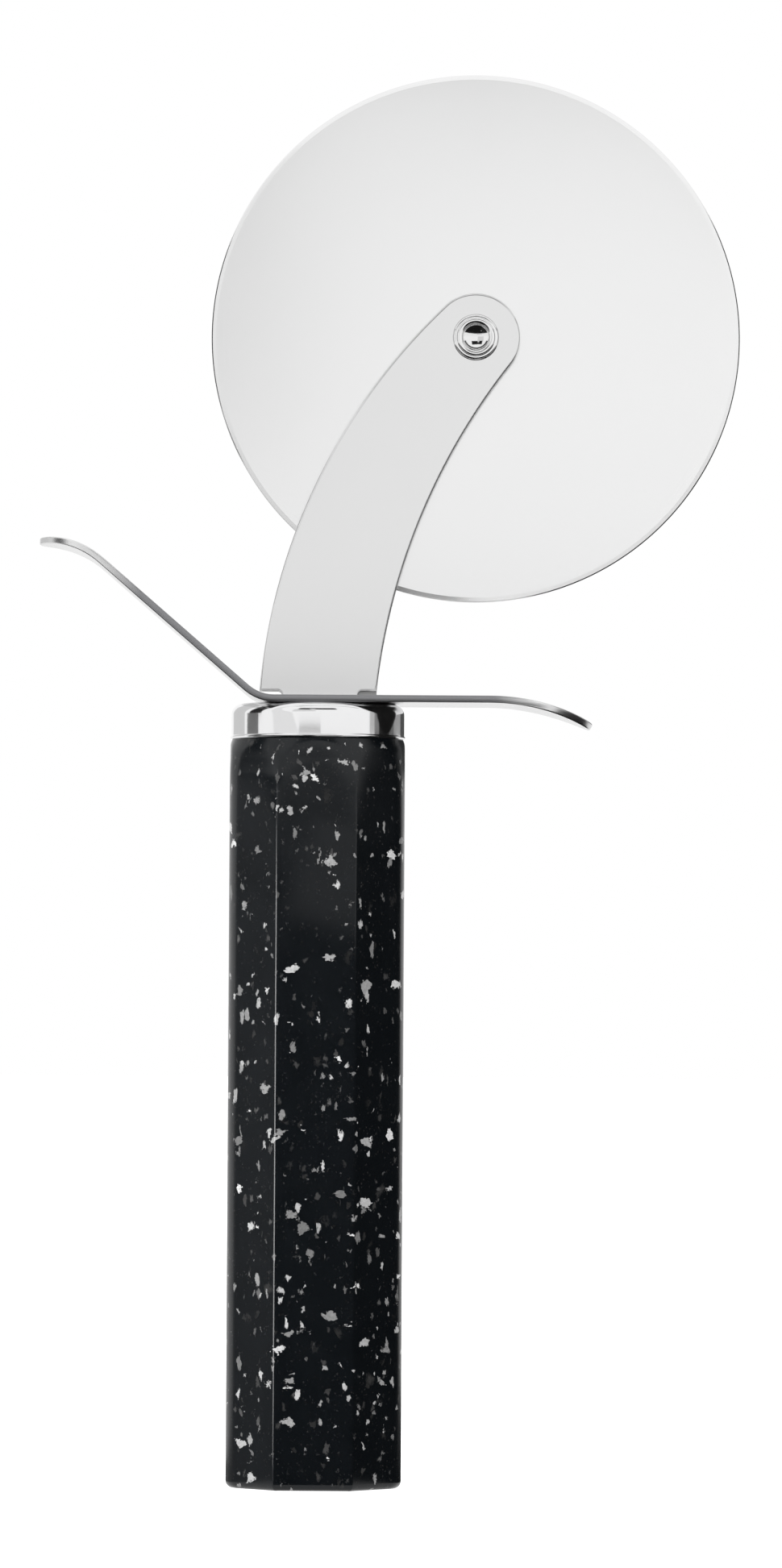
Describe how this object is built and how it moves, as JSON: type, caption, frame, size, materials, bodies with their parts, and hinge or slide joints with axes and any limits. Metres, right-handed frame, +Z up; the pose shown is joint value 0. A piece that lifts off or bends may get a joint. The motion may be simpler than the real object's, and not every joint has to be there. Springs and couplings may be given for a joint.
{
  "type": "pizza cutter wheel",
  "caption": "Flat round blade that turns on a hollow rivet between curved arms, above a waved finger guard, a polished ferrule and a faceted handle.",
  "frame": {"origin": "centre of the flat foot of the handle", "axes": "+Z up the handle's axis, +X towards the side that the wheel leans to, -Y the front, where the rolled end of the rivet shows"},
  "size_m": [0.119, 0.0296, 0.2403],
  "materials": {
    "blade_steel": "fine ground stainless, almost mirror",
    "arm_steel": "satin stainless sheet",
    "guard_steel": "polished stainless strip with tumbled edges",
    "rivet_steel": "bright",
    "ferrule_steel": "mirror polish",
    "spacer_nylon": "natural nylon",
    "grip_resin": "black resin with pale stone-like chips, semi-gloss",
    "core_plastic": "plain moulding"
  },
  "bodies": {
    "handle": {"handle_grip": "grip_resin", "handle_core": "core_plastic", "ferrule": "ferrule_steel", "finger_guard": "guard_steel", "front_arm": "arm_steel", "rear_arm": "arm_steel", "tang_spacer": "arm_steel", "tang_rivets": "rivet_steel", "axle_rivet": "rivet_steel", "clinch_washer": "rivet_steel", "front_spacer": "spacer_nylon", "rear_spacer": "spacer_nylon"},
    "wheel": {"wheel_blade": "blade_steel"}
  },
  "joints": [
    {"name": "wheel_spin", "type": "hinge", "parent": "handle", "child": "wheel", "pos_m": [0.0265, 0, 0.1953], "axis": [0, 1, 0], "continuous": true}
  ]
}
